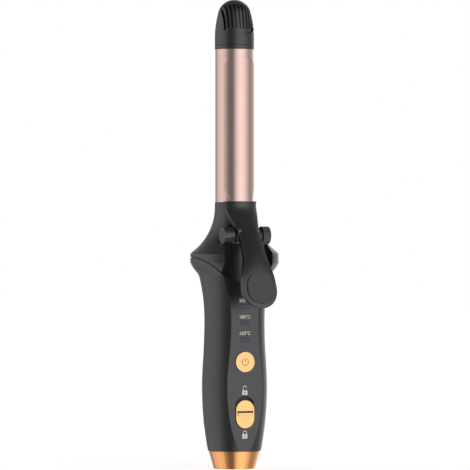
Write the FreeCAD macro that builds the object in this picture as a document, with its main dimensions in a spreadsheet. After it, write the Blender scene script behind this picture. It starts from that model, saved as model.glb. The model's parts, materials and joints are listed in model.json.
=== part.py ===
"""Cordless clamp curling iron, 25 mm barrel, as a parametric FreeCAD document in millimetres.

+Z runs from the flat base of the end cap up the barrel axis to the cool tip.  The control panel, the
thumb lever and the clamp face -Y, which this file calls forward: a distance "ahead" of the barrel axis
is a distance along -Y.  Every size comes from the spreadsheet Dims.
"""

import math
import os

import FreeCAD
import Part
import Sketcher

doc = FreeCAD.newDocument("curling_iron")
sheet = doc.addObject("Spreadsheet::Sheet", "Dims")


class Dim(float):
    """A number that remembers the spreadsheet expression it comes from."""

    def __new__(cls, value, text):
        made = float.__new__(cls, value)
        made.text = text
        return made

    def __neg__(self):
        return Dim(-float(self), f"(0 - {self.text})")

    def __add__(self, other):
        return Dim(float(self) + float(other), f"({self.text} + {text_of(other)})")

    def __radd__(self, other):
        return Dim(float(other) + float(self), f"({text_of(other)} + {self.text})")

    def __sub__(self, other):
        return Dim(float(self) - float(other), f"({self.text} - {text_of(other)})")

    def __rsub__(self, other):
        return Dim(float(other) - float(self), f"({text_of(other)} - {self.text})")

    def __mul__(self, other):
        return Dim(float(self) * float(other), f"({self.text} * {text_of(other)})")

    def __rmul__(self, other):
        return Dim(float(other) * float(self), f"({text_of(other)} * {self.text})")

    def __truediv__(self, other):
        return Dim(float(self) / float(other), f"({self.text} / {text_of(other)})")


def root(value):
    """The square root of a Dim."""
    return Dim(math.sqrt(float(value)), f"sqrt({value.text})")


def sine(angle):
    """The sine of a Dim in degrees."""
    return Dim(math.sin(math.radians(float(angle))), f"sin({angle.text} * 1deg)")


def text_of(value):
    """The expression text of a Dim, or a plain number as text."""
    return value.text if isinstance(value, Dim) else f"{float(value):.6f}"


# ---------------------------------------------------------------- driving dimensions, in mm and degrees
SIZES = {
    # end cap and handle silhouette
    "base_radius": 13.7, "cap_top_radius": 16.8, "cap_height": 11.5, "cap_edge": 0.8, "cap_floor": 2.0,
    "handle_bottom": 11.8, "handle_bottom_radius": 17.3, "belly_height": 53.0, "belly_radius": 21.15,
    "waist_height": 97.0, "waist_radius": 19.6, "flare_height": 124.2, "flare_radius": 22.8,
    "guard_low": 134.0, "guard_high": 139.5, "guard_radius": 28.75, "shell_wall": 2.2,
    "panel_ahead": 17.2,
    # parting line between handle and neck: a rounded V in front, level behind
    "rim_side_height": 137.0, "rim_bend_half": 16.0, "rim_bend_height": 126.7, "rim_bend_radius": 25.2,
    "rim_gap": 0.5,
    # neck and hinge pocket
    "neck_top": 173.0, "neck_radius": 12.8, "neck_sweep": 36.0, "neck_bore": 11.5,
    "pocket_half": 16.9, "pocket_top": 158.2, "pocket_floor": 11.2, "pocket_wall": 2.0,
    # hinge
    "hinge_ahead": 17.4, "hinge_height": 151.5, "pin_radius": 1.5, "ear_inner": 7.9, "ear_thick": 1.0,
    "hinge_reach": 16.1, "knob_radius": 5.85,
    # barrel, heater and tip
    "barrel_radius": 12.5, "barrel_wall": 1.0, "barrel_top": 272.4, "tip_radius": 12.8,
    "collar_top": 275.1, "tip_top": 304.8, "tip_wall": 2.2, "rib_step": 11.7, "rib_slot": 1.0,
    "rib_depth": 1.1, "rib_foot": 283.8, "rib_reach": 10.8, "rib_sag": 3.4,
    "spreader_radius": 11.3, "spreader_low": 190.0, "spreader_high": 260.0,
    # clamp plate
    "clip_inner": 12.58, "clip_thick": 0.6, "clip_half_angle": 52.0, "clip_top": 266.9,
    "clip_step_top": 178.5, "clip_step_low": 174.0, "clip_tail": 167.5, "clip_tail_inner": 13.05,
    # lever; its sections follow in the table LEVER
    "hood_top": 173.6, "hood_room": 13.8, "lever_wall": 2.1, "paddle_radius": 11.8,
    "paddle_height": 116.6, "pad_width": 18.0, "pad_height": 20.4, "pad_centre": 117.9,
    "pad_ahead": 43.4, "pad_tilt": 11.0, "pad_thick": 1.5, "pad_proud": 0.35,
    # controls on the panel
    "power_height": 69.7, "power_radius": 6.6, "lock_height": 35.9, "lock_half": 6.35,
    "lock_straight": 5.5, "lock_travel": 2.2, "window_low": 84.3, "window_pitch": 10.6,
    "window_half": 1.45, "window_straight": 3.1,
    # boards, frame and cell
    "board_back": 9.4, "board_thick": 1.6, "board_half": 10.0, "board_low": 26.0, "board_high": 115.0,
    "frame_back": 7.0, "cell_radius": 10.6, "cell_low": 38.0, "cell_length": 70.2, "cell_behind": 4.0,
}
# lever sections from hood to paddle: height, half width, front, depth of the crown, back
LEVER = [
    (173.6, 11.3, 15.35, 5.1, 8.6), (167.5, 10.55, 16.2, 4.2, 8.6), (161.0, 9.05, 20.2, 2.9, 12.0),
    (154.0, 7.5, 25.6, 2.2, 19.4), (147.0, 7.2, 31.1, 2.1, 25.0), (139.2, 7.5, 36.1, 2.1, 29.8),
    (131.4, 9.2, 39.9, 2.0, 33.8), (124.5, 10.9, 42.1, 1.7, 36.3), (115.0, 12.0, 44.0, 1.4, 38.6),
    (104.0, 12.4, 46.0, 1.3, 41.0),
]
for i, section in enumerate(LEVER):
    for part_name, value in zip(("height", "half", "front", "crown", "back"), section):
        SIZES[f"lever_{part_name}_{i}"] = value

dims = {}
for row, (name, value) in enumerate(SIZES.items(), start=1):
    sheet.set(f"A{row}", name)
    sheet.set(f"B{row}", str(value))
    sheet.setAlias(f"B{row}", name)
    dims[name] = Dim(value, f"Dims.{name}")
doc.recompute()

FIT = 0.1  # clearance between parts that are assembled but do not move
WIRE = 0.6  # radius of an insulated lead


def size(name):
    return dims[name]


def bind(obj, prop, value):
    """Sets a numeric property, and ties it to the spreadsheet when the value comes from there."""
    if isinstance(value, Dim):
        obj.setExpression(prop, value.text)
        return
    if "." not in prop:
        setattr(obj, prop, float(value))
        return
    obj.setExpression(prop, text_of(value))


def place(obj, x=0.0, y=0.0, z=0.0):
    """Puts an object at a point whose coordinates stay bound to the spreadsheet."""
    for axis, value in zip("xyz", (x, y, z)):
        if isinstance(value, Dim) or value:
            obj.setExpression(f"Placement.Base.{axis}", text_of(value))


# ---------------------------------------------------------------- sketches and solids
def plane_of(body, role):
    return next(o for o in body.Origin.OriginFeatures if o.Role == role)


def new_sketch(body, role, ahead=0.0):
    """A sketch on one of the body's origin planes, moved along that plane's normal."""
    made = body.newObject("Sketcher::SketchObject", body.Label + "_sketch")
    made.AttachmentSupport = [(plane_of(body, role), "")]
    made.MapMode = "FlatFace"
    if isinstance(ahead, Dim) or ahead:
        made.setExpression("AttachmentOffset.Base.z", text_of(ahead))
    return made


def arc_between(p, q, radius):
    """The arc from p to q. A positive radius turns left on the way, a negative one turns right."""
    dx, dy = q[0] - p[0], q[1] - p[1]
    chord = math.hypot(dx, dy)
    rise = math.sqrt(max(radius * radius - chord * chord / 4, 0.0)) * (1 if radius > 0 else -1)
    cx = (p[0] + q[0]) / 2 - dy / chord * rise
    cy = (p[1] + q[1]) / 2 + dx / chord * rise
    start, end = (p, q) if radius > 0 else (q, p)
    first = math.atan2(start[1] - cy, start[0] - cx)
    last = math.atan2(end[1] - cy, end[0] - cx)
    circle = Part.Circle(FreeCAD.Vector(cx, cy, 0), FreeCAD.Vector(0, 0, 1), abs(radius))
    return Part.ArcOfCircle(circle, first, last)


def is_half_round(p, q, radius):
    """Whether an arc is a half circle, whose centre has to be fixed instead of its radius."""
    return abs(math.hypot(q[0] - p[0], q[1] - p[1]) / 2 - abs(float(radius))) < 1e-3


def outline(sketch, points):
    """Draws a closed outline. A point is (x, y), or (x, y, radius) when an arc arrives at it."""
    plain = [(float(p[0]), float(p[1])) for p in points]
    edges, ends = [], []
    for i, point in enumerate(points):
        before = plain[i - 1]
        if len(point) == 3:
            edges.append(arc_between(before, plain[i], float(point[2])))
            ends.append((1, 2) if point[2] > 0 else (2, 1))
        else:
            edges.append(Part.LineSegment(FreeCAD.Vector(*before, 0), FreeCAD.Vector(*plain[i], 0)))
            ends.append((1, 2))
    first = sketch.addGeometry(edges, False)[0]
    rules, texts = [], []
    for i, point in enumerate(points):
        here, following = first + i, first + (i + 1) % len(points)
        rules.append(
            Sketcher.Constraint("Coincident", here, ends[i][1], following, ends[(i + 1) % len(points)][0])
        )
        texts.append(None)
        for kind, value in (("DistanceX", point[0]), ("DistanceY", point[1])):
            rules.append(Sketcher.Constraint(kind, -1, 1, here, ends[i][1], float(value)))
            texts.append(value)
        if len(point) == 3 and is_half_round(plain[i - 1], plain[i], point[2]):
            level = abs(plain[i][0] - plain[i - 1][0]) > abs(plain[i][1] - plain[i - 1][1])
            kind, value = ("DistanceY", point[1]) if level else ("DistanceX", point[0])
            rules.append(Sketcher.Constraint(kind, -1, 1, here, 3, float(value)))
            texts.append(value)
        elif len(point) == 3:
            rules.append(Sketcher.Constraint("Radius", here, abs(float(point[2]))))
            texts.append(point[2] if point[2] > 0 else -point[2])
    for index, value in zip(sketch.addConstraint(rules), texts):
        if isinstance(value, Dim):
            sketch.setExpression(f"Constraints[{index}]", value.text)


def ring(sketch, x, y, radius):
    """Draws a circle with its centre and radius bound."""
    made = sketch.addGeometry(
        Part.Circle(FreeCAD.Vector(float(x), float(y), 0), FreeCAD.Vector(0, 0, 1), float(radius)), False
    )
    rules = [
        Sketcher.Constraint("DistanceX", -1, 1, made, 3, float(x)),
        Sketcher.Constraint("DistanceY", -1, 1, made, 3, float(y)),
        Sketcher.Constraint("Radius", made, float(radius)),
    ]
    for index, value in zip(sketch.addConstraint(rules), (x, y, radius)):
        if isinstance(value, Dim):
            sketch.setExpression(f"Constraints[{index}]", value.text)


def stadium(x, y, half_wide, half_straight):
    """An upright slot outline about (x, y): two straight sides and two half-round ends."""
    return [
        (x + half_wide, y - half_straight),
        (x + half_wide, y + half_straight),
        (x - half_wide, y + half_straight, half_wide),
        (x - half_wide, y - half_straight),
    ], (x + half_wide, y - half_straight, half_wide)


def slot_points(x, y, half_wide, half_straight):
    """The slot outline as points for outline()."""
    corners, closing = stadium(x, y, half_wide, half_straight)
    return [closing] + corners[1:]


def lying_slot(x, y, half_tall, half_straight):
    """A slot outline that lies along the sketch's x."""
    return [
        (x - half_straight, y - half_tall, half_tall),
        (x + half_straight, y - half_tall),
        (x + half_straight, y + half_tall, half_tall),
        (x - half_straight, y + half_tall),
    ]


def mirrored(points):
    """Closes the right-hand half of an outline, listed from bottom to top, with its mirror image."""
    left = []
    for i in range(len(points) - 1, -1, -1):
        x, y = points[i][:2]
        bend = points[i + 1][2] if i + 1 < len(points) and len(points[i + 1]) == 3 else None
        left.append((-x, y) if bend is None else (-x, y, bend))
    if float(points[0][0]) == 0:
        left.pop()
        bend = points[1][2] if len(points[1]) == 3 else None
        closing = (points[0][0], points[0][1]) if bend is None else (points[0][0], points[0][1], bend)
        return [closing] + list(points[1:]) + left
    return list(points) + left


def body_named(name):
    return doc.addObject("PartDesign::Body", name)


def turned(name, points):
    """A body turned about Z from a half outline in the XZ plane."""
    body = body_named(name)
    sketch = new_sketch(body, "XZ_Plane")
    outline(sketch, points)
    turn = body.newObject("PartDesign::Revolution", name + "_turn")
    turn.Profile = sketch
    turn.ReferenceAxis = (sketch, ["V_Axis"])
    turn.Angle = 360
    sketch.Visibility = False
    body.Tip = turn
    return body


def extruded(name, role, loops, length, ahead=0.0, both_ways=False):
    """A body padded from closed outlines; a loop is a list of points or a circle (x, y, radius)."""
    body = body_named(name)
    sketch = new_sketch(body, role, ahead)
    for loop in loops:
        if isinstance(loop, tuple):
            ring(sketch, *loop)
        else:
            outline(sketch, loop)
    pad = body.newObject("PartDesign::Pad", name + "_pad")
    pad.Profile = sketch
    bind(pad, "Length", length)
    if both_ways:
        pad.SideType = "Symmetric"
    sketch.Visibility = False
    body.Tip = pad
    return body


def block(name, low, high):
    """A box between two corners."""
    made = doc.addObject("Part::Box", name)
    for prop, a, b in zip(("Length", "Width", "Height"), low, high):
        bind(made, prop, b - a)
    place(made, *low)
    return made


AXES = {"X": (0, 90), "-Y": (90, 0), "Z": (0, 0), "down_ahead": (135, 0), "up_behind": (-45, 0)}


def rod(name, radius, start, length, axis):
    """A cylinder from a start point along a direction, given as turns of Z about X and about Y."""
    made = doc.addObject("Part::Cylinder", name)
    bind(made, "Radius", radius)
    bind(made, "Height", length)
    about_x, about_y = AXES[axis]
    turn = (FreeCAD.Rotation(FreeCAD.Vector(1, 0, 0), about_x)
            * FreeCAD.Rotation(FreeCAD.Vector(0, 1, 0), about_y))
    made.Placement = FreeCAD.Placement(FreeCAD.Vector(*map(float, start)), turn)
    place(made, *start)
    return made


def join(name, *shapes):
    made = doc.addObject("Part::MultiFuse", name)
    made.Shapes = list(shapes)
    return made


def cut(name, base, *tools):
    made = doc.addObject("Part::Cut", name)
    made.Base = base
    made.Tool = tools[0] if len(tools) == 1 else join(name + "_tools", *tools)
    return made


def common(name, *shapes):
    made = doc.addObject("Part::MultiCommon", name)
    made.Shapes = list(shapes)
    return made


parts = {}


def keep(node, obj):
    """Registers an object as the sub-part that is written to parts/NODE.step."""
    obj.Label = node
    parts[node] = obj
    return obj


# ---------------------------------------------------------------- casing: handle shells and neck
def casing(name, inset, low, bore=None):
    """The handle, guard and neck as one turned solid, with its silhouette moved inwards by inset."""
    belly, waist = size("belly_radius"), size("waist_radius")
    belly_z, waist_z = size("belly_height"), size("waist_height")
    drop = belly - size("handle_bottom_radius")
    rise = belly_z - size("handle_bottom")
    belly_bend = (rise * rise + drop * drop) / (2 * drop)
    slim, climb = belly - waist, waist_z - belly_z
    both_bends = (climb * climb + slim * slim) / (2 * slim)
    waist_bend = both_bends - belly_bend
    share = belly_bend / both_bends
    turn_z = belly_z + climb * share
    turn_r = belly - belly_bend + (both_bends - slim) * share
    swell, reach = size("flare_radius") - waist, size("flare_height") - waist_z
    flare_bend = (reach * reach + swell * swell) / (2 * swell)
    guard, sweep, neck = size("guard_radius"), size("neck_sweep"), size("neck_radius")
    points = [
        (0, low),
        (size("handle_bottom_radius") - inset, low),
        (size("handle_bottom_radius") - inset, size("handle_bottom")),
        (turn_r - inset, turn_z, belly_bend),
        (waist - inset, waist_z, -waist_bend),
        (size("flare_radius") - inset, size("flare_height"), -flare_bend),
        (size("flare_radius") + 1.95 - inset, size("flare_height") + 3.6, -8.0),
        (guard - inset, size("guard_low"), 20.8),
        (guard - inset, size("guard_high")),
        (guard - 1.25 - inset, size("guard_high") + 1.5),
    ]
    if low == size("handle_bottom"):
        points.pop(1)
    if bore is None:
        points += [
            (neck - inset, size("neck_top") - 3.0, -sweep),
            (neck - inset, size("neck_top")),
            (0, size("neck_top")),
        ]
    else:
        # the sweep ends where it meets the bore
        side = float(neck) + float(sweep) - float(inset) - float(bore)
        meet = size("neck_top") - 3.0 - math.sqrt(float(sweep) ** 2 - side**2)
        points += [(bore, meet, -sweep), (bore, size("neck_top") + 2.0), (0, size("neck_top") + 2.0)]
    return turned(name, points)


def zone_above(name, lift):
    """Everything above the parting line between handle and neck, lifted by a distance."""
    side, bend_z = size("rim_side_height") + lift, size("rim_bend_height") + lift
    bend_u, bend_r = size("rim_bend_half"), size("rim_bend_radius")
    edge = size("guard_radius") + 1.25
    slope = (side - bend_z) / (size("guard_radius") - bend_u)
    outer_z = side + slope * 1.25
    ceiling = size("neck_top") + 5.0
    front = extruded(
        name + "_front",
        "XZ_Plane",
        [[(edge, outer_z), (edge, ceiling), (-edge, ceiling), (-edge, outer_z), (-bend_u, bend_z),
          (bend_u, bend_z, bend_r)]],
        40.0,
    )
    rear = block(name + "_rear", (-edge, 0.0, side), (edge, 40.0, ceiling))
    return join(name, front, rear)


def behind_panel(name, ahead):
    """The half space behind a plane parallel to the control panel, as a large box."""
    return block(name, (-35.0, -ahead, -5.0), (35.0, 40.0, size("neck_top") + 10.0))


def make_casing():
    wall, panel = size("shell_wall"), size("panel_ahead")
    low = size("handle_bottom")
    outer = casing("casing_outer", 0.0, low)
    inner = casing("casing_inner", wall, low - 1.0, size("neck_bore"))
    rebate = casing("casing_seat", 0.7, low - 1.0)
    thick = casing("casing_lip_outer", wall + 0.15, low - 1.0, size("neck_bore"))
    deep = casing("casing_lip_inner", wall + 1.6, low - 1.0, size("neck_bore"))

    # handle: the turned casing below the parting line, with the flat control panel in front
    flat = common("handle_flat", cut("handle_turned", outer, zone_above("zone_handle", 0.0)),
                  behind_panel("panel_face", panel))
    hollow = common("handle_hollow", inner, behind_panel("panel_back", panel - wall))
    shell = cut("handle_shell", flat, hollow)
    sill_block = block("sill_block", (-size("pocket_half") + 0.4, -panel - 5.0, size("flare_height") - 6.7),
                       (size("pocket_half") - 0.4, -size("pocket_floor") - 0.2, size("flare_height") + 6.0))
    sill = common("handle_sill", flat, sill_block)
    tops = size("neck_top")
    front_half = block("front_half", (-35.0, -40.0, 0.0), (35.0, -0.05, tops))
    rear_half = block("rear_half", (-35.0, 0.0, 0.0), (35.0, 40.0, tops))
    bosses_front, bosses_rear, holes, screws = shell_fasteners()
    posts, pilots = board_posts()
    front = join("front_body", common("front_skin", shell, front_half), sill, bosses_front, posts)
    front = cut("front_open", front, panel_openings(), holes, pilots)
    keep("handle_front_shell", front)
    rear = join("rear_body", common("rear_skin", shell, rear_half), bosses_rear)
    keep("handle_rear_shell", cut("rear_open", rear, holes))
    keep("shell_screws", screws)

    # neck: the guard and neck skin above the parting line, an inner lip, and the hinge pocket
    half, top, floor = size("pocket_half"), size("pocket_top"), size("pocket_floor")
    skin = join(
        "neck_stock",
        common("neck_skin", outer, zone_above("zone_neck", size("rim_gap"))),
        common("neck_seat", rebate, zone_above("zone_seat", 0.05)),
        common("neck_lip", thick, zone_above("zone_lip", -3.0)),
    )
    back = size("pocket_wall")
    walls = common("pocket_walls", skin, pocket_block("pocket_stock", half + 1.8, top + 2.0, floor - back))
    pocket = pocket_block("pocket_space", half, top, floor)
    neck = join("neck_walls", cut("neck_hollowed", skin, deep), walls)
    bracket_holes = [
        rod(f"bracket_hole_{i}", 0.8, (x, -floor + 3.0, size("hinge_height") + 2.0), 8.0, "-Y")
        for i, x in enumerate((-4.0, 4.0))
    ]
    keep("neck_guard", cut("neck_open", neck, pocket, *bracket_holes))


def pocket_block(name, half, top, floor):
    """The hinge pocket's space: open below and in front, with rounded upper corners."""
    corner = 5.0
    return extruded(name, "XZ_Plane", [mirrored([
        (half, 105.0), (half, top - corner), (half - corner, top, corner),
    ])], 40.0, floor)


SCREW_PLACES = [(15.6, 112.0), (-15.6, 112.0), (15.3, 30.0), (-15.3, 30.0)]
BOARD_FIXINGS = [(x, z) for x in (-7.6, 7.6) for z in (54.0, 108.0)]
SCREW_HEAD = 2.1
SCREW_SHANK = 1.1


def board_posts():
    """Posts behind the panel that the control board is screwed to, and their pilot holes."""
    face, inside = size("board_back") + size("board_thick"), size("panel_ahead") - size("shell_wall")
    posts, pilots = [], []
    for i, (x, z) in enumerate(BOARD_FIXINGS):
        posts.append(rod(f"board_post_{i}", 2.0, (x, -face - 0.1, z), inside - face + 0.3, "-Y"))
        pilots.append(rod(f"board_pilot_{i}", 0.8, (x, -face + 1.0, z), 4.7, "-Y"))
    return join("board_posts", *posts), join("board_pilots", *pilots)


def shell_fasteners():
    """Bosses, clearance holes and screws that pull the rear shell onto the front shell."""
    front, rear, holes, screws = [], [], [], []
    for i, (x, z) in enumerate(SCREW_PLACES):
        front.append(rod(f"boss_front_{i}", 2.3, (x, -0.05, z), 8.2, "-Y"))
        rear.append(rod(f"boss_rear_{i}", 2.6, (x, 9.5, z), 9.5, "-Y"))
        holes.append(rod(f"shank_hole_{i}", SCREW_SHANK + FIT, (x, 14.0, z), 19.5, "-Y"))
        holes.append(rod(f"head_hole_{i}", SCREW_HEAD + 0.2, (x, 20.0, z), 13.0, "-Y"))
        head = rod(f"screw_head_{i}", SCREW_HEAD, (x, 8.6, z), 1.6, "-Y")
        shank = rod(f"screw_shank_{i}", SCREW_SHANK, (x, 7.2, z), 12.0, "-Y")
        drive = rod(f"screw_drive_{i}", 0.9, (x, 9.0, z), 1.2, "-Y")
        screws.append(cut(f"screw_{i}", join(f"screw_blank_{i}", head, shank), drive))
    return join("bosses_front", *front), join("bosses_rear", *rear), join("boss_holes", *holes), join(
        "screw_set", *screws)


def panel_openings():
    """The holes in the panel for the power button, the lock slider and the three light windows."""
    back, deep = size("panel_ahead") - 4.0, 8.0
    gap = 0.2
    lock_mid = size("lock_height") + size("lock_travel") / 2
    button = extruded("button_hole", "XZ_Plane", [(0.0, size("power_height"), size("power_radius") + gap)],
                      deep, back)
    slot = extruded(
        "lock_hole",
        "XZ_Plane",
        [slot_points(0.0, lock_mid, size("lock_half") + gap,
                     size("lock_straight") / 2 + size("lock_travel") / 2 + gap)],
        deep,
        back,
    )
    windows = [
        extruded(f"window_hole_{i}", "XZ_Plane",
                 [lying_slot(0.0, size("window_low") + size("window_pitch") * i, size("window_half") + 0.05,
                             size("window_straight") / 2)], deep, back)
        for i in range(3)
    ]
    return join("panel_openings", button, slot, *windows)


# ---------------------------------------------------------------- end cap and charging port
def make_end():
    base, edge = size("base_radius"), size("cap_edge")
    height, top = size("cap_height"), size("cap_top_radius")
    plate = 10.0
    cap = turned("end_cap_body", [
        (plate, 0), (base - edge, 0), (base, edge, edge), (top, height), (top - 1.9, height),
        (top - 1.9, height + 4.5), (top - 3.4, height + 4.5), (top - 3.4, height - 2.5),
        (base - 1.8, size("cap_floor")), (plate, size("cap_floor")),
    ])
    keep("end_cap", cap)
    disc = turned("base_disc", [
        (0, 0.4), (plate - 0.05, 0.4), (plate - 0.05, 2.0), (plate + 1.3, 2.0), (plate + 1.3, 3.2), (0, 3.2),
    ])
    port_hole = extruded("port_hole", "XY_Plane", [lying_slot(0.0, 0.0, 1.85, 2.85)], 5.0, -0.5)
    keep("base_plate", cut("base_plate_open", disc, port_hole))

    shell = extruded("port_shell", "XY_Plane",
                     [lying_slot(0.0, 0.0, 1.63, 2.84), lying_slot(0.0, 0.0, 1.33, 2.84)], 7.0, 0.7)
    floor = extruded("port_floor", "XY_Plane", [lying_slot(0.0, 0.0, 1.33, 2.84)], 1.0, 6.7)
    keep("usb_port_shell", join("usb_shell", shell, floor))
    keep("usb_port_tongue", block("usb_tongue", (-3.3, -0.35, 1.4), (3.3, 0.35, 6.7)))
    keep("charging_board", cut("charging_board_cut",
                               block("charging_stock", (-8.0, 1.7, 3.4), (8.0, 2.9, 26.0)),
                               rod("charging_hole", 1.2, (0.0, 4.0, 22.0), 4.0, "-Y")))
    keep("charging_chip", block("charging_chip_block", (-2.5, 0.7, 12.0), (2.5, 1.7, 17.0)))


# ---------------------------------------------------------------- barrel, heater and cool tip
def tip_profile(name, inset, low):
    """The dome of the cool tip, turned, with its silhouette moved inwards by inset."""
    r = size("tip_radius") - inset
    top = size("tip_top") - inset
    shoulder_z, crown_z = size("barrel_top") + 7.0, size("tip_top") - 9.3
    crown_r, crown_drop = r - 6.6, 2.0
    crown_bend = (crown_r * crown_r + crown_drop * crown_drop) / (2 * crown_drop)
    return turned(name, [
        (0, low),
        (r, low),
        (r, shoulder_z),
        (r - 2.05, crown_z, 66.0),
        (crown_r, top - crown_drop, 10.5),
        (0.8, top - crown_bend + root(crown_bend * crown_bend - 0.64), crown_bend),
        (0, top - crown_bend + root(crown_bend * crown_bend - 0.64)),
    ])


def make_barrel():
    r, wall, low, top = size("barrel_radius"), size("barrel_wall"), size("neck_top"), size("barrel_top")
    tube = turned("barrel_body", [(r - wall, low + 0.05), (r, low + 0.05), (r, top), (r - wall, top)])
    keep("barrel_tube", tube)
    bore = r - wall
    mount = turned("barrel_mount_body", [
        (9.2, size("pocket_top") + 2.3), (bore - FIT, size("pocket_top") + 2.3), (bore - FIT, low + 13.0),
        (9.2, low + 13.0),
    ])
    keep("barrel_mount", mount)
    keep("tip_collar", turned("tip_collar_body", [
        (0, top - 9.0), (bore - FIT, top - 9.0), (bore - FIT, top), (size("tip_radius"), top),
        (size("tip_radius"), size("collar_top")), (9.2, size("collar_top")), (9.2, top - 6.5), (0, top - 6.5),
    ]))
    make_tip()
    make_heater()


def make_tip():
    low = size("collar_top") + 0.15
    dome = cut("tip_hollowed", tip_profile("tip_dome", 0.0, low),
               tip_profile("tip_void", size("tip_wall"), low - 1.0))
    band = cut("tip_band", tip_profile("tip_outset", -1.0, low), tip_profile("tip_groove_floor",
                                                                             size("rib_depth"), low - 1.0))
    # ten grooves cut straight ahead, spaced evenly around the tip, opening into a crescent below the ribs
    foot, head = size("rib_foot"), size("tip_top") - 3.4
    start, half = foot + 1.0, size("rib_slot") / 2
    slots = []
    for i in range(10):
        aside = (size("tip_radius") - 0.5) * sine(size("rib_step") * (i - 4.5))
        slots.append(extruded(f"rib_slot_{i}", "XZ_Plane", [slot_points(
            aside, (start + head) / 2, half, (head - start) / 2 - half)], 20.0, 1.0))
    reach, sag = size("rib_reach"), size("rib_sag")
    bend = (reach * reach + sag * sag) / (2 * sag)
    crescent = extruded("rib_crescent", "XZ_Plane", [[
        (reach - 1.0, foot + 2.2), (1.0 - reach, foot + 2.2), (-reach, foot + 1.2), (reach, foot + 1.2, bend),
    ]], 20.0, 1.0)
    grooves = common("tip_grooves", band, join("rib_cutters", crescent, *slots))
    ribbed = cut("tip_ribbed", dome, grooves)
    skirt = turned("tip_skirt", [(7.6, low - 7.0), (9.1, low - 7.0), (9.1, low), (10.9, low),
                                 (10.9, low + 1.7), (7.6, low + 1.7)])
    keep("cool_tip", join("tip_whole", ribbed, skirt))


def make_heater():
    r, low, high = size("spreader_radius"), size("spreader_low"), size("spreader_high")
    half_gap = 0.7
    core = turned("spreader_blank", [(0, low), (r, low), (r, high), (0, high)])
    halves = {"rear": (0.7, 20.0), "front": (-20.0, -0.7)}
    sensor_ahead = 5.5
    groove = rod("sensor_groove", 1.4, (0.0, -sensor_ahead, low - 1.0), 16.0, "Z")
    for side, (near, far) in halves.items():
        half = common(f"spreader_{side}_half", core,
                      block(f"spreader_{side}_box", (-20.0, near, low - 1.0), (20.0, far, high + 1.0)))
        keep(f"heat_spreader_{side}", cut("spreader_grooved", half, groove) if side == "front" else half)
    keep("ceramic_heater", block("ceramic_heater_plate", (-6.0, -half_gap + 0.05, low - 2.0),
                                 (6.0, half_gap - 0.05, high - 6.0)))
    keep("temperature_sensor", rod("sensor_bead", 1.25, (0.0, -sensor_ahead, low + 8.0), 6.0, "Z"))


# ---------------------------------------------------------------- clamp: plate, lever, hinge
def make_clip():
    inner, thick = size("clip_inner"), size("clip_thick")
    tail = size("clip_tail_inner")
    top, step_top, step_low, low = (size("clip_top"), size("clip_step_top"), size("clip_step_low"),
                                    size("clip_tail"))
    tube = turned("clip_tube", [
        (tail, low), (tail + thick, low), (tail + thick, step_low), (inner + thick, step_top),
        (inner + thick, top), (inner, top), (inner, step_top), (tail, step_low),
    ])
    half = math.sin(math.radians(float(size("clip_half_angle")))) * (inner + thick)
    corner = 6.0
    window = extruded("clip_window", "XZ_Plane", [mirrored([
        (half - 3.2, low - 1.0), (half - 3.2, step_low), (half, step_low + 7.5), (half, top - corner),
        (half - corner, top, corner),
    ])], 25.0)
    rivet_holes = [rod(f"clip_rivet_hole_{i}", 1.0, (x, -8.0, low + 3.2), 12.0, "-Y")
                   for i, x in enumerate((-5.0, 5.0))]
    keep("clip_plate", cut("clip_drilled", common("clip_sector", tube, window), *rivet_holes))
    keep("clip_rivets", join("rivet_pair", *[
        rod(f"rivet_{i}", 0.95, (x, -12.2, low + 3.2), 1.3, "-Y") for i, x in enumerate((-5.0, 5.0))]))


def lofted(name, sections):
    """A body lofted through crowned sections: height, half width, front, crown and back of each."""
    body = body_named(name)
    sketches = []
    for height, half, front, crown, back in sections:
        sketch = new_sketch(body, "XY_Plane", height)
        edge = front - crown
        bend = (half * half + crown * crown) / (2 * crown)
        outline(sketch, [(half, -back), (-half, -back), (-half, -edge), (half, -edge, bend)])
        sketch.Visibility = False
        sketches.append(sketch)
    loft = body.newObject("PartDesign::AdditiveLoft", name + "_loft")
    loft.Profile = sketches[0]
    loft.Sections = sketches[1:]
    body.Tip = loft
    return body


def lever_sections(wall, behind):
    """The lever's sections, moved inwards by a wall thickness and opened behind."""
    rows = []
    for i in range(len(LEVER)):
        height, half, front, crown, back = (
            size(f"lever_{key}_{i}") for key in ("height", "half", "front", "crown", "back"))
        rows.append((height, half - wall, front - wall, crown * (1.0 if wall == 0 else 0.8), back - behind))
    return rows


def paddle_front(name, inset):
    """The lever's rounded lower end seen from the front, extruded forwards."""
    r, mid, wide = size("paddle_radius"), size("paddle_height"), 20.0
    return extruded(name, "XZ_Plane", [mirrored([
        (0, mid - r + inset), (r - inset, mid, r - inset), (wide, mid), (wide, size("hood_top") + 5.0),
    ])], 60.0)


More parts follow.
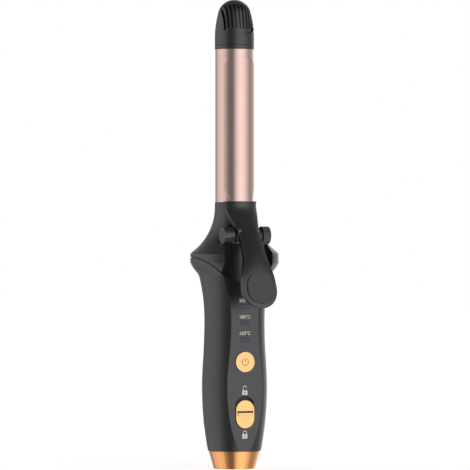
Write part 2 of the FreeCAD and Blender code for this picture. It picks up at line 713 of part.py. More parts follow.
def make_lever():
    wall = size("lever_wall")
    solid = common("lever_solid", lofted("lever_outer", lever_sections(0, 0)), paddle_front("lever_end", 0.0))
    channel = common("lever_channel", lofted("lever_inner", lever_sections(wall, 8.0)),
                     paddle_front("lever_end_inner", wall),
                     block("channel_reach", (-20.0, -60.0, 90.0), (20.0, 0.0, size("hinge_height") + 6.0)))
    room = size("hood_room")
    hood_room = turned("hood_space", [
        (0, 145.0), (18.2, 145.0), (18.2, 154.0), (room + 1.9, size("pocket_top")), (room + 0.4, 162.0),
        (room, 166.0), (room, size("hood_top") + 5.0), (0, size("hood_top") + 5.0)])
    ahead, height, pin = size("hinge_ahead"), size("hinge_height"), size("pin_radius")
    ear, lug_thick, lug_radius = size("ear_inner"), 2.2, 4.3
    ear_rooms = [rod(f"ear_room_{i}", 3.8, (x, -ahead, height), 8.0, "X")
                 for i, x in enumerate((ear - 0.3, -ear - 7.7))]
    shell = cut("lever_shell", solid, channel, hood_room, *ear_rooms)
    lugs = [rod(f"lever_lug_{i}", lug_radius, (x, -ahead, height), lug_thick, "X")
            for i, x in enumerate((ear - 0.4 - lug_thick, 0.4 - ear))]
    cheeks = [block(f"lever_cheek_{i}", (x, -ahead - 7.0, height - 1.5),
                    (x + lug_thick, -ahead, height + 4.0))
              for i, x in enumerate((ear - 0.4 - lug_thick, 0.4 - ear))]
    shell = join("lever_with_lugs", shell, *lugs, *cheeks)
    pin_hole = rod("lever_pin_hole", pin + 0.06, (-12.0, -ahead, height), 24.0, "X")
    rivet_holes = [rod(f"lever_rivet_hole_{i}", 1.0, (x, -11.0, size("clip_tail") + 3.2), 2.6, "-Y")
                   for i, x in enumerate((-5.0, 5.0))]
    keep("thumb_lever", cut("lever_drilled", shell, pin_hole, pad_slab("pad_rest", 0.05, 0.0),
                            *rivet_holes))
    keep("thumb_pad", pad_slab("thumb_pad_body", 0.0, 0.05))


def pad_slab(name, grow, lift):
    """The oval thumb pad, tilted to lie on the paddle; lift keeps it clear of the seat's floor."""
    half_w, half_h = size("pad_width") / 2 + grow, size("pad_height") / 2 + grow
    deep, proud = size("pad_thick"), size("pad_proud")
    body = extruded(name, "XZ_Plane", [slot_points(0.0, 0.0, half_w, half_h - half_w)], deep,
                    proud - deep + lift)
    turn = FreeCAD.Rotation(FreeCAD.Vector(1, 0, 0), -float(size("pad_tilt")))
    body.Placement = FreeCAD.Placement(FreeCAD.Vector(0, 0, 0), turn)
    body.setExpression("Placement.Rotation.Axis.x", "1")
    body.setExpression("Placement.Rotation.Angle", (-size("pad_tilt")).text)
    place(body, 0.0, -size("pad_ahead"), size("pad_centre"))
    return body


def make_hinge():
    ahead, height, pin = size("hinge_ahead"), size("hinge_height"), size("pin_radius")
    reach, knob = size("hinge_reach"), size("knob_radius")
    ear, thick, floor = size("ear_inner"), size("ear_thick"), size("pocket_floor")
    head = 1.4
    shaft = rod("pin_shaft", pin, (-reach, -ahead, height), reach * 2 - 1.5, "X")
    flange = rod("pin_flange", knob - 0.4, (-reach, -ahead, height), head, "X")
    keep("hinge_pin", join("hinge_pin_body", shaft, flange))
    bush_start = -(reach - head) + 0.05
    bush_length = reach - head - ear - thick - 0.2
    bush = cut("bush_bored", rod("bush_blank", knob - 0.9, (bush_start, -ahead, height), bush_length, "X"),
               rod("bush_bore", pin + 0.03, (-20.0, -ahead, height), 40.0, "X"))
    keep("hinge_spacer", bush)

    # knurled nut, made about its own axis and then put on the pin
    nut = body_named("knurled_nut_body")
    face = new_sketch(nut, "YZ_Plane", ear + thick + 2.1)
    ring(face, 0.0, 0.0, knob)
    ring(face, 0.0, 0.0, pin + 0.03)
    pad = nut.newObject("PartDesign::Pad", "nut_pad")
    pad.Profile = face
    bind(pad, "Length", reach - ear - thick - 2.1)
    notch = new_sketch(nut, "YZ_Plane", ear + thick + 2.1)
    ring(notch, knob + 0.15, 0.0, 0.5)
    pocket = nut.newObject("PartDesign::Pocket", "nut_groove")
    pocket.Profile = notch
    pocket.Type = "ThroughAll"
    pocket.Reversed = True
    doc.recompute()
    knurl = nut.newObject("PartDesign::PolarPattern", "nut_knurl")
    knurl.Originals = [pocket]
    knurl.Axis = (plane_of(nut, "X_Axis"), [""])
    knurl.Angle = 360
    knurl.Occurrences = 24
    nut.Tip = knurl
    place(nut, 0.0, -ahead, height)
    collar = cut("nut_collar", rod("nut_collar_blank", 4.0, (ear + thick + 0.1, -ahead, height), 2.0, "X"),
                 rod("nut_collar_bore", pin + 0.03, (5.0, -ahead, height), 10.0, "X"))
    keep("knurled_nut", join("knurled_nut_whole", nut, collar))

    # bracket: a plate on the pocket floor with two ears
    plate = block("bracket_plate", (-ear - thick, -floor - 0.8, height - 5.0),
                  (ear + thick, -floor, height + 5.6))
    pieces = [plate]
    for i, x in enumerate((ear, -ear - thick)):
        pieces.append(block(f"bracket_ear_{i}", (x, -ahead, height - 3.2),
                            (x + thick, -floor - 0.4, height + 3.2)))
        pieces.append(rod(f"bracket_tip_{i}", 3.2, (x, -ahead, height), thick, "X"))
    ear_hole = rod("bracket_ear_hole", pin + 0.02, (-12.0, -ahead, height), 24.0, "X")
    holes = [rod(f"bracket_screw_hole_{i}", 1.0, (x, -floor + 1.0, height + 2.0), 3.0, "-Y")
             for i, x in enumerate((-4.0, 4.0))]
    keep("hinge_bracket", cut("bracket_drilled", join("bracket_blank", *pieces), ear_hole, *holes))
    screws = []
    for i, x in enumerate((-4.0, 4.0)):
        top = rod(f"bracket_screw_head_{i}", 1.5, (x, -floor - 0.8, height + 2.0), 0.7, "-Y")
        shank = rod(f"bracket_screw_shank_{i}", 0.75, (x, -floor + 2.0, height + 2.0), 3.0, "-Y")
        screws.append(join(f"bracket_screw_{i}", top, shank))
    keep("bracket_screws", join("bracket_screw_set", *screws))

    keep("torsion_spring", make_spring(ahead, height))


def make_spring(ahead, height):
    """Coils about the hinge pin: one leg reaches up under the pocket's ceiling, one inside the lever."""
    wire, mean, turns, pitch = 0.45, 2.75, 7, 1.05
    span = turns * pitch
    body = body_named("spring_coil")
    section = new_sketch(body, "XY_Plane")
    ring(section, -span / 2, mean, wire)
    coil = body.newObject("PartDesign::AdditiveHelix", "spring_helix")
    coil.Profile = section
    coil.ReferenceAxis = (plane_of(body, "X_Axis"), [""])
    coil.Mode = 0
    coil.Pitch = pitch
    coil.Height = span
    body.Tip = coil
    # both ends of the coil face up and ahead, where the legs leave it along its tangent
    body.Placement = FreeCAD.Placement(
        FreeCAD.Vector(0, 0, 0), FreeCAD.Rotation(FreeCAD.Vector(1, 0, 0), 135))
    place(body, 0.0, -ahead, height)
    reach = mean * math.sqrt(0.5)
    back_leg = rod("spring_leg_back", wire, (-span / 2, -ahead - reach, height + reach), 5.1, "up_behind")
    lever_leg = rod("spring_leg_lever", wire, (span / 2, -ahead - reach, height + reach), 16.2, "down_ahead")
    return join("spring_whole", body, back_leg, lever_leg)


# ---------------------------------------------------------------- controls, boards, frame and cell
def make_controls():
    face, wall = size("panel_ahead"), size("shell_wall")
    inside = face - wall
    z, r = size("power_height"), size("power_radius")
    stem_end = size("board_back") + size("board_thick") + 2.6
    cap = extruded("button_cap", "XZ_Plane", [(0.0, z, r)], face - inside + 1.1, inside - 0.3)
    flange = extruded("button_flange", "XZ_Plane", [(0.0, z, r + 1.0)], 0.8, inside - 1.0)
    stem = extruded("button_stem", "XZ_Plane", [(0.0, z, 1.9)], inside - 0.9 - stem_end, stem_end)
    keep("power_button", join("button_whole", cap, flange, stem))

    lock_z, half, straight = size("lock_height"), size("lock_half"), size("lock_straight")
    knob = extruded("lock_cap", "XZ_Plane", [slot_points(0.0, lock_z, half, straight / 2)], 3.1, inside - 0.1)
    rib = block("lock_rib", (-4.95, -face - 1.5, lock_z - 1.0), (4.95, -face - 0.5, lock_z + 1.0))
    notch = block("lock_notch", (-5.5, -face - 3.0, lock_z + 1.0), (5.5, -face + 0.2, lock_z + 2.0))
    keep("lock_slider", cut("lock_whole", join("lock_blank", knob, rib), notch))
    keep("lock_carrier", block("lock_carrier_plate", (-8.0, -inside + 0.1, lock_z - 12.0),
                               (8.0, -inside + 1.0, lock_z + 12.8)))
    board_face = size("board_back") + size("board_thick")
    keep("slide_switch", block("slide_switch_body", (-4.4, -board_face - 1.8, lock_z - 2.4),
                               (4.4, -board_face, lock_z + 4.6)))
    keep("slide_contact", block("slide_contact_body", (-1.5, -inside + 1.0, lock_z - 1.2),
                                (1.5, -board_face - 1.85, lock_z + 1.2)))

    tact_high = 2.0
    body = block("tact_stock", (-3.0, -board_face - tact_high, z - 3.0), (3.0, -board_face, z + 3.0))
    well = rod("tact_well", 1.7, (0.0, -board_face - 0.7, z), 4.0, "-Y")
    keep("power_switch", cut("tact_body", body, well))
    keep("switch_plunger", rod("tact_plunger", 1.55, (0.0, -board_face - 1.35, z),
                               stem_end - board_face - 1.35, "-Y"))

    windows, lamps = [], []
    for i in range(3):
        mid = size("window_low") + size("window_pitch") * i
        windows.append(extruded(f"window_{i}", "XZ_Plane",
                                [lying_slot(0.0, mid, size("window_half"), size("window_straight") / 2)],
                                face - board_face - 1.4, board_face + 1.4))
        lamps.append(block(f"lamp_{i}", (-1.0, -board_face - 0.8, mid - 0.6), (1.0, -board_face, mid + 0.6)))
    keep("indicator_windows", join("window_set", *windows))
    keep("indicator_lamps", join("lamp_set", *lamps))


def make_inside():
    back, thick, half = size("board_back"), size("board_thick"), size("board_half")
    low, high = size("board_low"), size("board_high")
    stock = block("board_stock", (-half, -back - thick, low), (half, -back, high))
    board_holes = [rod(f"board_hole_{i}", 1.1, (x, -back + 2.0, z), 6.0, "-Y")
                   for i, (x, z) in enumerate(BOARD_FIXINGS)]
    keep("control_board", cut("board_drilled", stock, *board_holes))
    face = back + thick
    keep("heater_driver", join("driver_chips",
                               block("driver_chip_0", (-7.5, -face - 1.2, 58.0), (-3.8, -face, 63.0)),
                               block("driver_chip_1", (3.8, -face - 1.2, 58.0), (7.5, -face, 63.0)),
                               block("driver_chip_2", (-2.5, -face - 1.0, 45.5), (2.5, -face, 50.5))))

    frame = size("frame_back")
    plate = block("frame_plate", (-11.0, -back + 0.05, 27.0), (11.0, -frame, 111.0))
    windows = [block(f"frame_window_{i}", (-6.0, -back, z), (6.0, 0.0, z + 18.0))
               for i, z in enumerate((34.0, 60.0, 84.0))]
    frame_holes = [rod(f"frame_hole_{i}", 1.1, (x, 0.0, z), 12.0, "-Y")
                   for i, (x, z) in enumerate(BOARD_FIXINGS)]
    keep("inner_frame", cut("frame_open", plate, *windows, *frame_holes))
    screws = []
    for i, (x, z) in enumerate(BOARD_FIXINGS):
        screws.append(join(f"board_screw_{i}",
                           rod(f"board_screw_head_{i}", 1.7, (x, -frame + 1.1, z), 1.1, "-Y"),
                           rod(f"board_screw_shank_{i}", 0.75, (x, -frame + 0.1, z), 7.4, "-Y")))
    keep("board_screws", join("board_screw_set", *screws))

    r, start, length, behind = size("cell_radius"), size("cell_low"), size("cell_length"), size("cell_behind")
    keep("battery_cell", rod("cell_can", r, (0.0, behind, start), length, "Z"))
    cradle = cut("cradle_turned",
                 rod("cradle_blank", r + 1.7, (0.0, behind, start - 2.0), length + 4.0, "Z"),
                 rod("cradle_room", r + FIT, (0.0, behind, start - 0.5), length + 1.0, "Z"),
                 rod("cradle_relief", r - 4.0, (0.0, behind, start - 5.0), length + 10.0, "Z"),
                 block("cradle_mouth", (-20.0, -20.0, start - 5.0),
                       (20.0, behind + 1.5, start + length + 5.0)))
    keep("battery_cradle", cradle)
    tabs = [rod("tab_low", 4.0, (0.0, behind, start - 0.45), 0.4, "Z"),
            rod("tab_high", 4.0, (0.0, behind, start + length + 0.05), 0.4, "Z")]
    keep("battery_tabs", join("battery_tab_pair", *tabs))
    for side, x in (("left", -3.0), ("right", 3.0)):
        keep(f"heater_lead_{side}", lead(f"heater_lead_{side}_wire", x))


def lead(name, x):
    """An insulated lead from the top of the board, up the neck and into the heater plate's foot."""
    ahead = size("frame_back") + 1.3
    start, knee, end = size("board_high") - 3.5, size("pocket_top") - 1.0, size("spreader_low") - 2.0
    path = body_named(name)
    route = new_sketch(path, "YZ_Plane", x)
    bends = [(-ahead, start), (-ahead, knee), (0.0, end - 3.0), (0.0, end)]
    radius = 8.0
    polyline = [FreeCAD.Vector(float(y), float(z), 0) for y, z in bends]
    pieces = rounded_path(polyline, radius)
    route.addGeometry(pieces, False)
    for i in range(len(pieces) - 1):
        route.addConstraint(Sketcher.Constraint("Coincident", i, end_of(pieces, i)[1], i + 1,
                                                end_of(pieces, i + 1)[0]))
    section = new_sketch(path, "XY_Plane", start)
    ring(section, x, -ahead, WIRE)
    pipe = path.newObject("PartDesign::AdditivePipe", name + "_pipe")
    pipe.Profile = section
    pipe.Spine = (route, [])
    path.Tip = pipe
    return path


def end_of(pieces, index):
    """Which end of a path piece comes first: arcs in a sketch run counter-clockwise."""
    piece = pieces[index]
    if isinstance(piece, Part.LineSegment):
        return (1, 2)
    before = pieces[index - 1].EndPoint
    return (1, 2) if piece.StartPoint.distanceToPoint(before) < 1e-6 else (2, 1)


def rounded_path(points, radius):
    """Straight runs between the points, joined by tangent arcs of one radius."""
    pieces, start = [], points[0]
    for before, corner, after in zip(points, points[1:], points[2:]):
        into, out = (corner - before).normalize(), (after - corner).normalize()
        turn = into.getAngle(out)
        back = radius * math.tan(turn / 2)
        first, last = corner - into * back, corner + out * back
        pieces.append(Part.LineSegment(start, first))
        left = into.cross(out).z > 0
        pieces.append(arc_between((first.x, first.y), (last.x, last.y), radius if left else -radius))
        start = last
    pieces.append(Part.LineSegment(start, points[-1]))
    return pieces


# ---------------------------------------------------------------- build, check, write
make_casing()
make_end()
make_barrel()
make_clip()
make_lever()
make_hinge()
make_controls()
make_inside()
doc.recompute()

troubles = [f"{o.Name}: {o.State}" for o in doc.Objects if {"Invalid", "Error"} & set(o.State)]
for node, obj in parts.items():
    shape = obj.Shape
    if shape.isNull() or not shape.isValid() or not shape.Solids or shape.Volume < 0.1:
        troubles.append(f"{node}: bad shape")
if troubles:
    raise SystemExit("\n".join(troubles))

os.makedirs("parts", exist_ok=True)
for node, obj in parts.items():
    obj.Shape.exportStep(os.path.join("parts", node + ".step"))
    print(f"{node:22s} solids {len(obj.Shape.Solids):2d}  volume {obj.Shape.Volume / 1000:8.3f} cm3")
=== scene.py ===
import json
import math

import bmesh
import bpy
from mathutils import Matrix, Vector


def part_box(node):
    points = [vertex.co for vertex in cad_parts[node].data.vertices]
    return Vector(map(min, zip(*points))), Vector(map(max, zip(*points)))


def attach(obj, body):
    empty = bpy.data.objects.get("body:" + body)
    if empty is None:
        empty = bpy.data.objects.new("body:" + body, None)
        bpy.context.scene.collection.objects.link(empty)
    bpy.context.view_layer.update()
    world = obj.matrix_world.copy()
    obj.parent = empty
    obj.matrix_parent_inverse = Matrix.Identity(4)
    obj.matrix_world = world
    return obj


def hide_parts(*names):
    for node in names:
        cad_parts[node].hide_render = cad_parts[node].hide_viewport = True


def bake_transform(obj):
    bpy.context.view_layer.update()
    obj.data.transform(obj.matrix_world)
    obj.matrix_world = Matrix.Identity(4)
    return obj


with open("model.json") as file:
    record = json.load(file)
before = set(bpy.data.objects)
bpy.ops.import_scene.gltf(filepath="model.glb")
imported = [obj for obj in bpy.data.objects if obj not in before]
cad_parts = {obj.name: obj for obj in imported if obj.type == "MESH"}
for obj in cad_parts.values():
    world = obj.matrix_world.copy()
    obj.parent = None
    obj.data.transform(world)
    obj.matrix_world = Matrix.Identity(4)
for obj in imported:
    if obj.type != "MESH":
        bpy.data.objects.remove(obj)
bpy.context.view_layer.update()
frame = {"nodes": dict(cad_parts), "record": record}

MM = 0.001
CAMERA_TURN = math.radians(23.0)  # how far the camera stands to the left of the panel's front
CAMERA_FAR = 3.0
PICTURE_HIGH = 305.5 * MM
PICTURE_MIDDLE = 151.8 * MM  # height of the picture's centre
PICTURE_ASIDE = 0.36 * MM  # how far the picture's centre lies to the right of the barrel's axis


# ---------------------------------------------------------------- material nodes
class Nodes:
    """A node tree that is built up one node at a time."""

    def __init__(self, tree):
        self.tree = tree
        tree.nodes.clear()

    def add(self, kind, inputs=None, **settings):
        node = self.tree.nodes.new(kind)
        for key, value in settings.items():
            setattr(node, key, value)
        for key, value in (inputs or {}).items():
            socket = node.inputs[key]
            if isinstance(value, bpy.types.NodeSocket):
                self.tree.links.new(value, socket)
            else:
                socket.default_value = value
        return node

    def ramp(self, factor, stops, smooth=False):
        node = self.add("ShaderNodeValToRGB", {"Fac": factor})
        node.color_ramp.interpolation = "EASE" if smooth else "LINEAR"
        while len(node.color_ramp.elements) < len(stops):
            node.color_ramp.elements.new(0.5)
        for element, (place, value) in zip(node.color_ramp.elements, stops):
            element.position = place
            shade = value if isinstance(value, tuple) else (value, value, value)
            element.color = (*shade, 1.0)
        return node.outputs["Color"]

    def noise(self, scale, detail=3.0, stretch=(1.0, 1.0, 1.0)):
        """Noise in the part's own frame; scale is the number of features in a metre."""
        place = self.add("ShaderNodeTexCoord").outputs["Object"]
        mapped = self.add("ShaderNodeMapping", {"Vector": place, "Scale": stretch}).outputs["Vector"]
        texture = self.add("ShaderNodeTexNoise", {"Vector": mapped, "Scale": scale, "Detail": detail})
        return texture.outputs["Fac"]

    def math(self, operation, a, b=0.0):
        return self.add("ShaderNodeMath", {0: a, 1: b}, operation=operation).outputs[0]

    def edges(self, radius):
        """1 within the radius of an edge, 0 on open faces."""
        round_normal = self.add("ShaderNodeBevel", {"Radius": radius}, samples=4).outputs["Normal"]
        true_normal = self.add("ShaderNodeNewGeometry").outputs["Normal"]
        dot = self.add("ShaderNodeVectorMath", {0: round_normal, 1: true_normal}, operation="DOT_PRODUCT")
        away = self.math("SUBTRACT", 1.0, dot.outputs["Value"])
        return self.ramp(away, [(0.004, 0.0), (0.12, 1.0)])


def tinted(colour, factor):
    return tuple(min(1.0, c * factor) for c in colour)


def material(name, colour, rough, metallic=0.0, grain=0.0, grain_size=0.25, brushed=None, wear=0.0,
             worn_colour=None, coat=0.0, specular=0.5, round_edges=0.3, blotch=0.06):
    """A plastic or metal: colour drift, grain in the bump and roughness, polished or worn edges."""
    made = bpy.data.materials.new(name)
    made.use_nodes = True
    n = Nodes(made.node_tree)
    drift = n.noise(38.0, 4.0)
    base = n.ramp(drift, [(0.3, tinted(colour, 1.0 - blotch)), (0.7, tinted(colour, 1.0 + blotch))])
    fine = n.noise(1.0 / (grain_size * MM), 2.0)
    if wear:
        scuffs = n.ramp(n.noise(420.0, 5.0), [(0.42, 0.0), (0.62, 1.0)])
        edge = n.math("MULTIPLY", n.math("MULTIPLY", n.edges(0.5 * MM), scuffs), wear)
        mixed = n.add("ShaderNodeMix", {"Factor": edge, "A": base, "B": (*(worn_colour or colour), 1.0)},
                      data_type="RGBA")
        base = mixed.outputs["Result"]
    shine = n.ramp(n.noise(55.0, 5.0), [(0.25, max(rough - 0.035, 0.02)), (0.75, rough + 0.035)])
    normal = n.add("ShaderNodeBevel", {"Radius": round_edges * MM}, samples=4).outputs["Normal"]
    if brushed:
        lines = n.noise(900.0, 3.0, brushed)
        shine = n.math("ADD", shine, n.math("MULTIPLY", n.math("SUBTRACT", lines, 0.5), 0.09))
        normal = n.add("ShaderNodeBump", {"Strength": 0.10, "Distance": 0.02 * MM, "Height": lines,
                                          "Normal": normal}).outputs["Normal"]
    if grain:
        normal = n.add("ShaderNodeBump", {"Strength": grain, "Distance": 0.03 * MM, "Height": fine,
                                          "Normal": normal}).outputs["Normal"]
    shader = n.add("ShaderNodeBsdfPrincipled", {
        "Base Color": base, "Roughness": shine, "Normal": normal, "Metallic": metallic,
        "Specular IOR Level": specular, "Coat Weight": coat, "Coat Roughness": 0.12,
    })
    n.add("ShaderNodeOutputMaterial", {"Surface": shader.outputs["BSDF"]})
    return made


ALONG_BARREL = (1.0, 1.0, 0.02)  # draws the noise out into lines up the barrel
BLACK = (0.0052, 0.0052, 0.0056)
ROSE = (0.79, 0.56, 0.495)
STEEL = (0.52, 0.52, 0.53)


def make_materials():
    """One finish for each material slot in the record."""
    grey_edge = (0.045, 0.045, 0.048)
    return {
        "handle_black": material("handle_black", BLACK, 0.30, grain=0.10, wear=0.4, worn_colour=grey_edge,
                                 specular=1.0),
        "neck_black": material("neck_black", BLACK, 0.26, grain=0.09, wear=0.5, worn_colour=grey_edge,
                               specular=1.0, round_edges=0.5),
        "lever_black": material("lever_black", BLACK, 0.26, grain=0.09, wear=0.5, worn_colour=grey_edge,
                                specular=1.0, round_edges=0.7),
        "pad_black": material("pad_black", tinted(BLACK, 4.0), 0.50, grain=0.45, grain_size=0.35,
                              specular=0.9),
        "tip_black": material("tip_black", BLACK, 0.28, grain=0.10, wear=0.3, worn_colour=grey_edge,
                              specular=1.0),
        "base_black": material("base_black", tinted(BLACK, 1.5), 0.5, grain=0.4, grain_size=0.35),
        "barrel_rose_gold": material("barrel_rose_gold", ROSE, 0.20, metallic=1.0, brushed=ALONG_BARREL,
                                     blotch=0.02),
        "clip_rose_gold": material("clip_rose_gold", ROSE, 0.20, metallic=1.0, brushed=ALONG_BARREL,
                                   wear=0.4, worn_colour=(0.86, 0.70, 0.62), blotch=0.02),
        "cap_gold": material("cap_gold", (1.0, 0.45, 0.17), 0.06, metallic=1.0, wear=0.3,
                             worn_colour=(0.95, 0.72, 0.45), coat=0.3, blotch=0.02),
        "control_gold": material("control_gold", (0.92, 0.56, 0.24), 0.24, metallic=1.0, grain=0.10,
                                 wear=0.5, worn_colour=(0.96, 0.80, 0.55), blotch=0.03, round_edges=0.5),
        "window_blue": material("window_blue", (0.022, 0.022, 0.085), 0.22, coat=0.2),
        "hinge_black": material("hinge_black", BLACK, 0.32, wear=0.6, worn_colour=(0.12, 0.12, 0.12),
                                specular=1.0),
        "steel": material("steel", STEEL, 0.30, metallic=1.0, grain=0.15),
        "nickel": material("nickel", (0.62, 0.60, 0.56), 0.25, metallic=1.0, grain=0.1),
        "board_green": material("board_green", (0.02, 0.16, 0.06), 0.35, grain=0.2, coat=0.4),
        "chip_black": material("chip_black", (0.025, 0.025, 0.027), 0.5, grain=0.3),
        "lamp_white": material("lamp_white", (0.80, 0.79, 0.70), 0.3, grain=0.05),
        "switch_black": material("switch_black", (0.03, 0.03, 0.035), 0.45, grain=0.2),
        "switch_white": material("switch_white", (0.72, 0.72, 0.70), 0.35, grain=0.1),
        "cell_can": material("cell_can", (0.05, 0.20, 0.36), 0.3, grain=0.08, coat=0.3),
        "frame_grey": material("frame_grey", (0.16, 0.16, 0.17), 0.5, grain=0.3),
        "mount_brown": material("mount_brown", (0.14, 0.085, 0.05), 0.5, grain=0.3),
        "spreader_aluminium": material("spreader_aluminium", (0.66, 0.67, 0.68), 0.35, metallic=1.0,
                                       brushed=ALONG_BARREL),
        "heater_white": material("heater_white", (0.84, 0.83, 0.80), 0.4, grain=0.2),
        "sensor_amber": material("sensor_amber", (0.45, 0.20, 0.04), 0.15, coat=0.5),
        "lead_white": material("lead_white", (0.78, 0.78, 0.75), 0.6, grain=0.3),
    }


def dress(finishes):
    """Gives every CAD node the finish of its slot."""
    for entry in frame["record"]["subparts"]:
        node = frame["nodes"][entry["node"]]
        node.data.materials.clear()
        node.data.materials.append(finishes[entry["material_slot"]])


# ---------------------------------------------------------------- printed marks
TYPE_SIZE = 3.1 * MM
TYPE_THICK = 0.02 * MM
TYPE_BOLDER = 0.045 * MM
TYPE_PROUD = 0.015 * MM
MARK_THICK = 0.04 * MM


def flat_mesh(name, loops, thick):
    """A thin plate from closed outlines in x and z; each loop is its own island."""
    mesh = bmesh.new()
    for loop in loops:
        front = [mesh.verts.new((x, -thick, z)) for x, z in loop]
        back = [mesh.verts.new((x, 0.0, z)) for x, z in loop]
        mesh.faces.new(front)
        mesh.faces.new(list(reversed(back)))
        for i in range(len(loop)):
            j = (i + 1) % len(loop)
            mesh.faces.new((front[j], front[i], back[i], back[j]))
    bmesh.ops.recalc_face_normals(mesh, faces=mesh.faces)
    data = bpy.data.meshes.new(name)
    mesh.to_mesh(data)
    mesh.free()
    made = bpy.data.objects.new(name, data)
    bpy.context.scene.collection.objects.link(made)
    return made


def arc_points(radius, first, last, steps):
    angles = [math.radians(first + (last - first) * i / steps) for i in range(steps + 1)]
    return [(radius * math.cos(angle), radius * math.sin(angle)) for angle in angles]


def bow(radius, width, first, last, shift=(0.0, 0.0), steps=18):
    """A curved bar of constant width, as one closed loop."""
    outer = arc_points(radius + width / 2, first, last, steps)
    inner = arc_points(radius - width / 2, last, first, steps)
    return [(x + shift[0], z + shift[1]) for x, z in outer + inner]


def bar(x0, x1, z0, z1):
    return [(x0, z0), (x1, z0), (x1, z1), (x0, z1)]


def put(piece, where, paint, body):
    piece.location = where
    piece.data.materials.clear()
    piece.data.materials.append(paint)
    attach(piece, body)


def temperature(words, height, face, paint):
    """A printed temperature, centred on the panel."""
    curve = bpy.data.curves.new("print_" + words[:3], "FONT")
    curve.body = words
    curve.size = TYPE_SIZE
    curve.align_x = "CENTER"
    curve.align_y = "CENTER"
    curve.extrude = TYPE_THICK
    curve.offset = TYPE_BOLDER
    drawn = bpy.data.objects.new("print_draft", curve)
    bpy.context.scene.collection.objects.link(drawn)
    bpy.context.view_layer.update()
    mesh = bpy.data.meshes.new_from_object(drawn.evaluated_get(bpy.context.evaluated_depsgraph_get()))
    mesh.transform(Matrix.Rotation(math.pi / 2, 4, "X"))
    bpy.data.objects.remove(drawn)
    made = bpy.data.objects.new("print_" + words[:3], mesh)
    bpy.context.scene.collection.objects.link(made)
    put(made, (0.0, face - TYPE_PROUD, height), paint, "iron")


def padlock(name, height, face, lifted, paint):
    """A padlock mark: a body with a keyhole, and a shackle that is raised on one leg when open."""
    half_width = 1.8 * MM
    top = 0.3 * MM
    foot = -2.6 * MM
    hole_half_width = 0.4 * MM
    hole_top = -0.5 * MM
    hole_foot = -1.7 * MM
    radius = 1.15 * MM
    wire = 0.45 * MM
    legs_top = 1.2 * MM + (0.9 * MM if lifted else 0.0)
    loops = [
        bar(-half_width, half_width, hole_top, top),
        bar(-half_width, half_width, foot, hole_foot),
        bar(-half_width, -hole_half_width, hole_foot, hole_top),
        bar(hole_half_width, half_width, hole_foot, hole_top),
        bow(radius, wire, 0, 180, (0.0, legs_top)),
        bar(-radius - wire / 2, -radius + wire / 2, top, legs_top),
    ]
    if not lifted:
        loops.append(bar(radius - wire / 2, radius + wire / 2, top, legs_top))
    made = flat_mesh(name, loops, MARK_THICK)
    put(made, (0.0, face, height), paint, "iron")


def power_mark(paint):
    low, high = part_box("power_button")
    middle = (low.z + high.z) / 2
    line = 0.42 * MM
    ring = bow(2.2 * MM, line, -238, 58)
    stroke = bar(-line / 2, line / 2, 0.1 * MM, 2.7 * MM)
    made = flat_mesh("power_mark", [ring, stroke], MARK_THICK)
    put(made, (0.0, low.y, middle), paint, "power_key")


def painted_groove_shadow(paint):
    """A dark strip painted on the floor of the groove above the lock slider's raised bar: painted shadow
    where the groove is in shade.
    """
    low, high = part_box("lock_slider")
    middle = (low.z + high.z) / 2
    half_width = 5.4 * MM
    foot = 1.05 * MM
    top = 1.95 * MM
    made = flat_mesh("painted_groove_shadow", [bar(-half_width, half_width, foot, top)], 0.03 * MM)
    floor = low.y + 1.7 * MM  # the bar's front face is 1.7 mm ahead of the groove's floor
    put(made, (0.0, floor, middle), paint, "lock_key")


def make_marks():
    light = material("print_light", (0.80, 0.80, 0.78), 0.5, grain=0.2)
    dark = material("print_dark", (0.46, 0.24, 0.10), 0.45, grain=0.2)
    low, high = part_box("indicator_windows")
    face = low.y
    half_window = 1.45 * MM
    above = 3.85 * MM  # from the middle of a window up to its temperature
    first = low.z + half_window
    step = (high.z - low.z - 2 * half_window) / 2
    for i, words in enumerate(("150°C", "180°C", "200°C")):
        temperature(words, first + step * i + above, face, light)
    padlock("padlock_open", 51.0 * MM, face, True, light)
    padlock("padlock_closed", 22.8 * MM, face, False, light)
    power_mark(dark)
    # dark brown paint for the painted shadow in the lock slider's groove
    painted_groove_shadow(material("painted_groove_shadow_paint", (0.075, 0.030, 0.012), 0.5, grain=0.2))


# ---------------------------------------------------------------- spring
def make_spring(paint):
    """The torsion spring: a copy of the CAD spring's mesh with the steel finish, baked into world space;
    the CAD node is hidden.
    """
    node = frame["nodes"]["torsion_spring"]
    spring = bpy.data.objects.new("spring_coils", node.data.copy())
    bpy.context.scene.collection.objects.link(spring)
    spring.data.materials.clear()
    spring.data.materials.append(paint)
    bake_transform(spring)
    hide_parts("torsion_spring")


# ---------------------------------------------------------------- stage, light, camera
CEILING = (0.22, 0.22, 0.22, 1.0)
WHITE = (1.0, 1.0, 1.0, 1.0)
FLOOR_RADIUS = 9.0
FLOOR_GLOW = 0.66


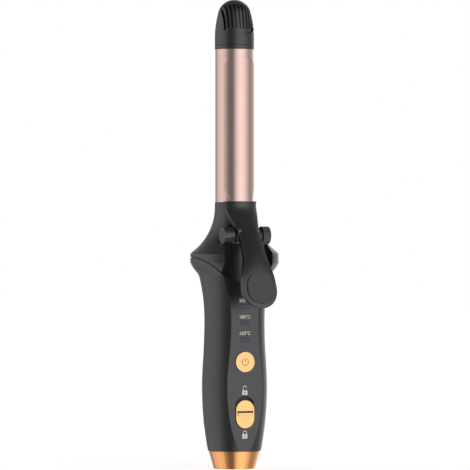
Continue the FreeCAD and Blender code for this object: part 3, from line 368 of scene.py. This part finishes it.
def make_world():
    """Studio surroundings: tall soft lights left and right, dark gaps, white behind the camera's view."""
    world = bpy.data.worlds.new("studio")
    world.use_nodes = True
    bpy.context.scene.world = world
    n = Nodes(world.node_tree)
    way = n.add("ShaderNodeTexCoord").outputs["Generated"]
    to_camera = (-math.sin(CAMERA_TURN), -math.cos(CAMERA_TURN), 0.0)
    to_right = (math.cos(CAMERA_TURN), -math.sin(CAMERA_TURN), 0.0)
    ahead = n.add("ShaderNodeVectorMath", {0: way, 1: to_camera}, operation="DOT_PRODUCT").outputs["Value"]
    aside = n.add("ShaderNodeVectorMath", {0: way, 1: to_right}, operation="DOT_PRODUCT").outputs["Value"]
    angle = n.math("ARCTAN2", aside, ahead)
    place = n.math("ADD", n.math("DIVIDE", angle, 2 * math.pi), 0.5)
    # degrees round from the camera, to the right, and the light that comes from there
    walls = [(-180, 1.0), (-157, 0.34), (-140, 0.42), (-112, 0.84), (-82, 0.97), (-60, 0.86), (-44, 0.40),
             (-26, 0.19), (-9, 0.20), (5, 0.62), (17, 1.06), (36, 1.30), (54, 1.18), (74, 0.80), (92, 0.42),
             (112, 0.40), (134, 0.70), (156, 1.05), (180, 1.0)]
    around = n.ramp(place, [((a + 180) / 360, v) for a, v in walls], True)
    up = n.add("ShaderNodeSeparateXYZ", {"Vector": way}).outputs["Z"]
    overhead = n.ramp(up, [(0.38, 0.0), (0.78, 1.0)])
    mixed = n.add("ShaderNodeMix", {"Factor": overhead, "A": around, "B": CEILING},
                  data_type="RGBA").outputs["Result"]
    studio = n.add("ShaderNodeBackground", {"Color": mixed, "Strength": 1.0})
    white = n.add("ShaderNodeBackground", {"Color": WHITE, "Strength": 1.0})
    seen = n.add("ShaderNodeLightPath").outputs["Is Camera Ray"]
    both = n.add("ShaderNodeMixShader", {0: seen, 1: studio.outputs[0], 2: white.outputs[0]})
    n.add("ShaderNodeOutputWorld", {"Surface": both.outputs[0]})


def make_floor():
    mesh = bmesh.new()
    bmesh.ops.create_circle(mesh, cap_ends=True, segments=96, radius=FLOOR_RADIUS)
    data = bpy.data.meshes.new("floor")
    mesh.to_mesh(data)
    mesh.free()
    floor = bpy.data.objects.new("floor", data)
    bpy.context.scene.collection.objects.link(floor)
    paint = bpy.data.materials.new("floor_paint")
    paint.use_nodes = True
    n = Nodes(paint.node_tree)
    shader = n.add("ShaderNodeBsdfPrincipled", {
        "Base Color": (0.9, 0.9, 0.9, 1.0), "Roughness": 0.9, "Specular IOR Level": 0.0,
        "Emission Color": WHITE, "Emission Strength": FLOOR_GLOW,
    })
    n.add("ShaderNodeOutputMaterial", {"Surface": shader.outputs["BSDF"]})
    data.materials.append(paint)
    floor.visible_glossy = False


def make_camera():
    data = bpy.data.cameras.new("camera")
    data.sensor_width = 36.0
    data.lens = data.sensor_width * CAMERA_FAR / PICTURE_HIGH
    data.clip_end = 40.0
    camera = bpy.data.objects.new("camera", data)
    bpy.context.scene.collection.objects.link(camera)
    right = Vector((math.cos(CAMERA_TURN), -math.sin(CAMERA_TURN), 0.0))
    back = Vector((-math.sin(CAMERA_TURN), -math.cos(CAMERA_TURN), 0.0))
    target = right * PICTURE_ASIDE + Vector((0.0, 0.0, PICTURE_MIDDLE))
    camera.location = target + back * CAMERA_FAR
    camera.rotation_euler = (math.pi / 2, 0.0, -CAMERA_TURN)
    bpy.context.scene.camera = camera


make_marks()
finishes = make_materials()
dress(finishes)
make_spring(finishes["steel"])
make_world()
make_floor()
make_camera()
bpy.context.scene.view_settings.view_transform = "Standard"
bpy.context.scene.view_settings.look = "None"
